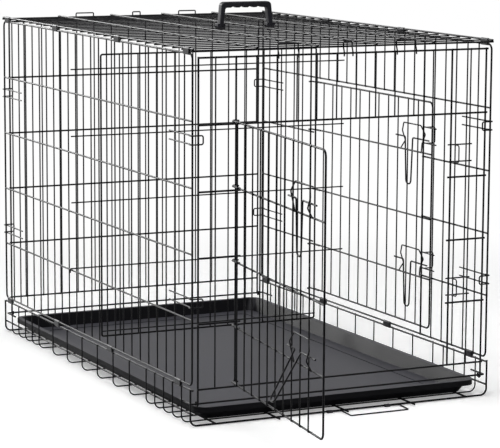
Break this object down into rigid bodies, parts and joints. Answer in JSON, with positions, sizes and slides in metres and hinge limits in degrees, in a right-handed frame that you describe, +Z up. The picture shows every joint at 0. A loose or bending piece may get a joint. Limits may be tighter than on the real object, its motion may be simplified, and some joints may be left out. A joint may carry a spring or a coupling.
{
  "type": "wire dog crate",
  "caption": "Folding wire dog crate with a hinged front door, a hinged side door, slide-bolt latches, a pull-out tray, a divider panel and a carry handle.",
  "frame": {"origin": "on the floor, under the middle of the cabin", "axes": "+X towards the front end with the open door, +Y towards the side door, +Z up"},
  "size_m": [1.8116, 0.8228, 0.9159],
  "materials": {
    "coated_wire": "satin black coating",
    "clip_sheet": "satin black coating",
    "tray_plastic": "satin",
    "handle_plastic": "matt"
  },
  "bodies": {
    "crate": {"bottom_panel": "coated_wire", "left_side_panel": "coated_wire", "right_side_panel": "coated_wire", "top_panel": "coated_wire", "front_keepers": "coated_wire", "rear_keepers": "coated_wire", "top_left_hinge_clips": "clip_sheet", "top_right_hinge_clips": "clip_sheet", "bottom_left_hinge_clips": "clip_sheet", "bottom_right_hinge_clips": "clip_sheet", "left_corner_catches": "coated_wire", "right_corner_catches": "coated_wire", "side_strikes": "coated_wire", "pan_stop_clips": "clip_sheet"},
    "front_end": {"front_end_panel": "coated_wire", "front_strikes": "coated_wire"},
    "rear_end": {"rear_end_panel": "coated_wire"},
    "front_door": {"front_door": "coated_wire", "front_door_hooks": "coated_wire", "front_latch_guides": "coated_wire"},
    "side_door": {"side_door": "coated_wire", "side_door_hooks": "coated_wire", "side_latch_guides": "coated_wire"},
    "front_upper_latch": {"front_upper_latch": "coated_wire"},
    "front_lower_latch": {"front_lower_latch": "coated_wire"},
    "side_upper_latch": {"side_upper_latch": "coated_wire"},
    "side_lower_latch": {"side_lower_latch": "coated_wire"},
    "tray": {"tray": "tray_plastic"},
    "carry_handle": {"carry_handle": "handle_plastic"},
    "pan_stop": {"pan_stop": "coated_wire"},
    "divider": {"divider_panel": "coated_wire"}
  },
  "joints": [
    {"name": "front_end_fold", "type": "hinge", "parent": "crate", "child": "front_end", "pos_m": [0.6046, 0, 0.0525], "axis": [0, 1, 0], "range_deg": [-32, 0]},
    {"name": "rear_end_fold", "type": "hinge", "parent": "crate", "child": "rear_end", "pos_m": [-0.6046, 0, 0.0525], "axis": [0, -1, 0], "range_deg": [-36, 0]},
    {"name": "front_door_swing", "type": "hinge", "parent": "front_end", "child": "front_door", "pos_m": [0.6096, -0.2794, 0], "axis": [0, 0, -1], "range_deg": [-96.6, 55]},
    {"name": "side_door_swing", "type": "hinge", "parent": "crate", "child": "side_door", "pos_m": [-0.3048, 0.3824, 0], "axis": [0, 0, 1], "range_deg": [0, 150]},
    {"name": "front_upper_latch_slide", "type": "slide", "parent": "front_door", "child": "front_upper_latch", "axis": [-0.9934, 0.1149, 0], "range_m": [-0.034, 0]},
    {"name": "front_lower_latch_slide", "type": "slide", "parent": "front_door", "child": "front_lower_latch", "axis": [-0.9934, 0.1149, 0], "range_m": [-0.034, 0]},
    {"name": "side_upper_latch_slide", "type": "slide", "parent": "side_door", "child": "side_upper_latch", "axis": [-1, 0, 0], "range_m": [-0.034, 0]},
    {"name": "side_lower_latch_slide", "type": "slide", "parent": "side_door", "child": "side_lower_latch", "axis": [-1, 0, 0], "range_m": [-0.034, 0]},
    {"name": "tray_slide", "type": "slide", "parent": "crate", "child": "tray", "axis": [1, 0, 0], "range_m": [0, 1.1]},
    {"name": "carry_handle_swing", "type": "hinge", "parent": "crate", "child": "carry_handle", "pos_m": [-0.1016, 0.0848, 0.8529], "axis": [0, 1, 0], "range_deg": [-70, 70]},
    {"name": "pan_stop_swing", "type": "hinge", "parent": "crate", "child": "pan_stop", "pos_m": [0.6141, 0, 0.0034], "axis": [0, 1, 0], "range_deg": [-92, 0]},
    {"name": "divider_lift", "type": "slide", "parent": "crate", "child": "divider", "axis": [0, 0, 1], "range_m": [0, 0.02]}
  ]
}
